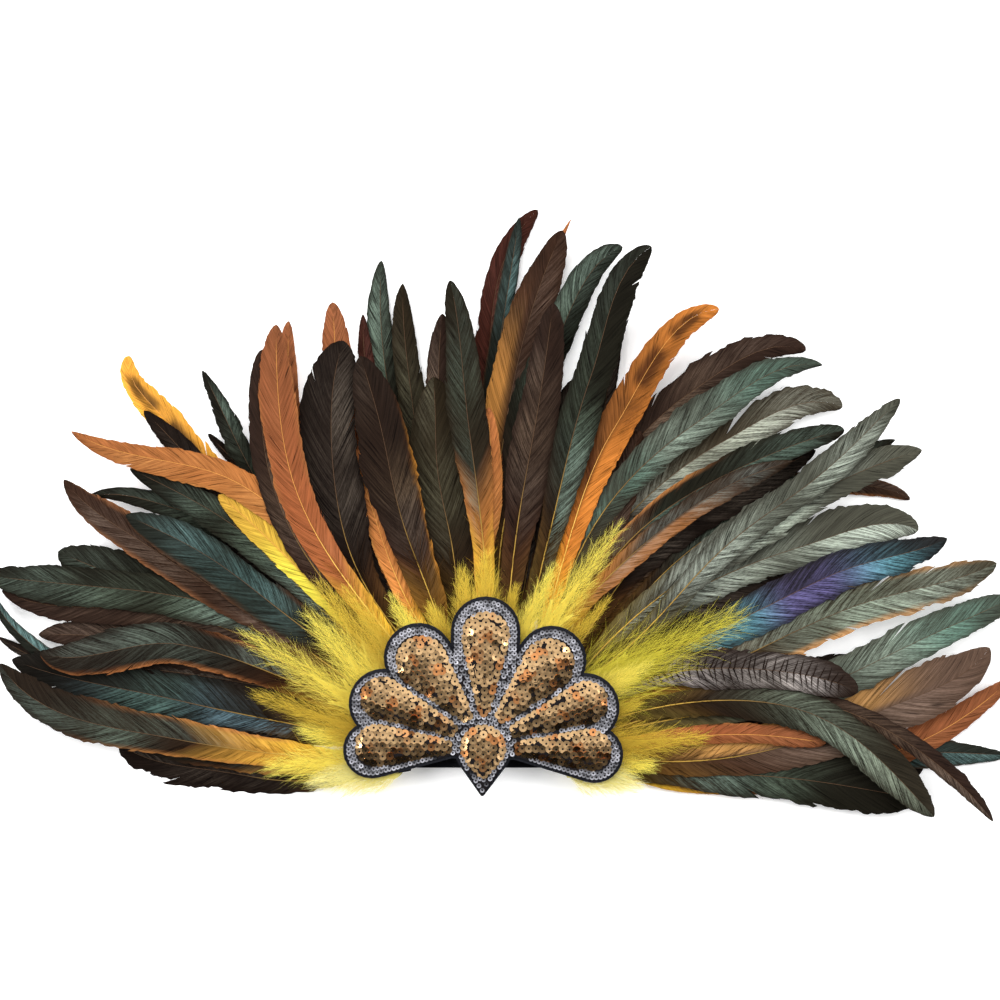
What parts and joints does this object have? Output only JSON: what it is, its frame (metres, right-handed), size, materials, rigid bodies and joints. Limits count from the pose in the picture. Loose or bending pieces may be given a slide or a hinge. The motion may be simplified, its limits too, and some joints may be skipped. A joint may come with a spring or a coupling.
{
  "type": "feather headdress",
  "caption": "Carnival headdress lying on its back: a wide fan of dyed rooster tail feathers and yellow down around a scalloped felt patch of gold and silver sequins.",
  "frame": {"origin": "on the flat back of the back plate, below the middle of the patch", "axes": "+X to the viewer's right along the long way of the fan, +Y up the fan, +Z out of the face; the plate's back lies on the table at Z 0"},
  "size_m": [0.6661, 0.3984, 0.027],
  "materials": {
    "felt": "matt black felt",
    "back_feather": "dark brown and green rooster feather, soft sheen",
    "middle_feather": "green and brown rooster feather, soft sheen",
    "front_feather": "dark rooster feather dyed orange at its base, soft sheen",
    "down": "soft yellow down",
    "silver_sequin": "bright silver sequins",
    "gold_sequin": "bright bronze-gold sequins"
  },
  "bodies": {
    "root": {"back_plate": "felt", "left_back_feathers": "back_feather", "crown_back_feathers": "back_feather", "right_back_feathers": "back_feather", "left_middle_feathers": "middle_feather", "crown_middle_feathers": "middle_feather", "right_middle_feathers": "middle_feather", "left_front_feathers": "front_feather", "crown_front_feathers": "front_feather", "right_front_feathers": "front_feather", "left_down": "down", "crown_down": "down", "right_down": "down", "patch_base": "felt", "silver_border": "silver_sequin", "gold_centre": "gold_sequin", "gold_upper_left": "gold_sequin", "gold_upper_right": "gold_sequin", "gold_middle_left": "gold_sequin", "gold_middle_right": "gold_sequin", "gold_lower_left": "gold_sequin", "gold_lower_right": "gold_sequin", "gold_drop": "gold_sequin"}
  },
  "joints": []
}
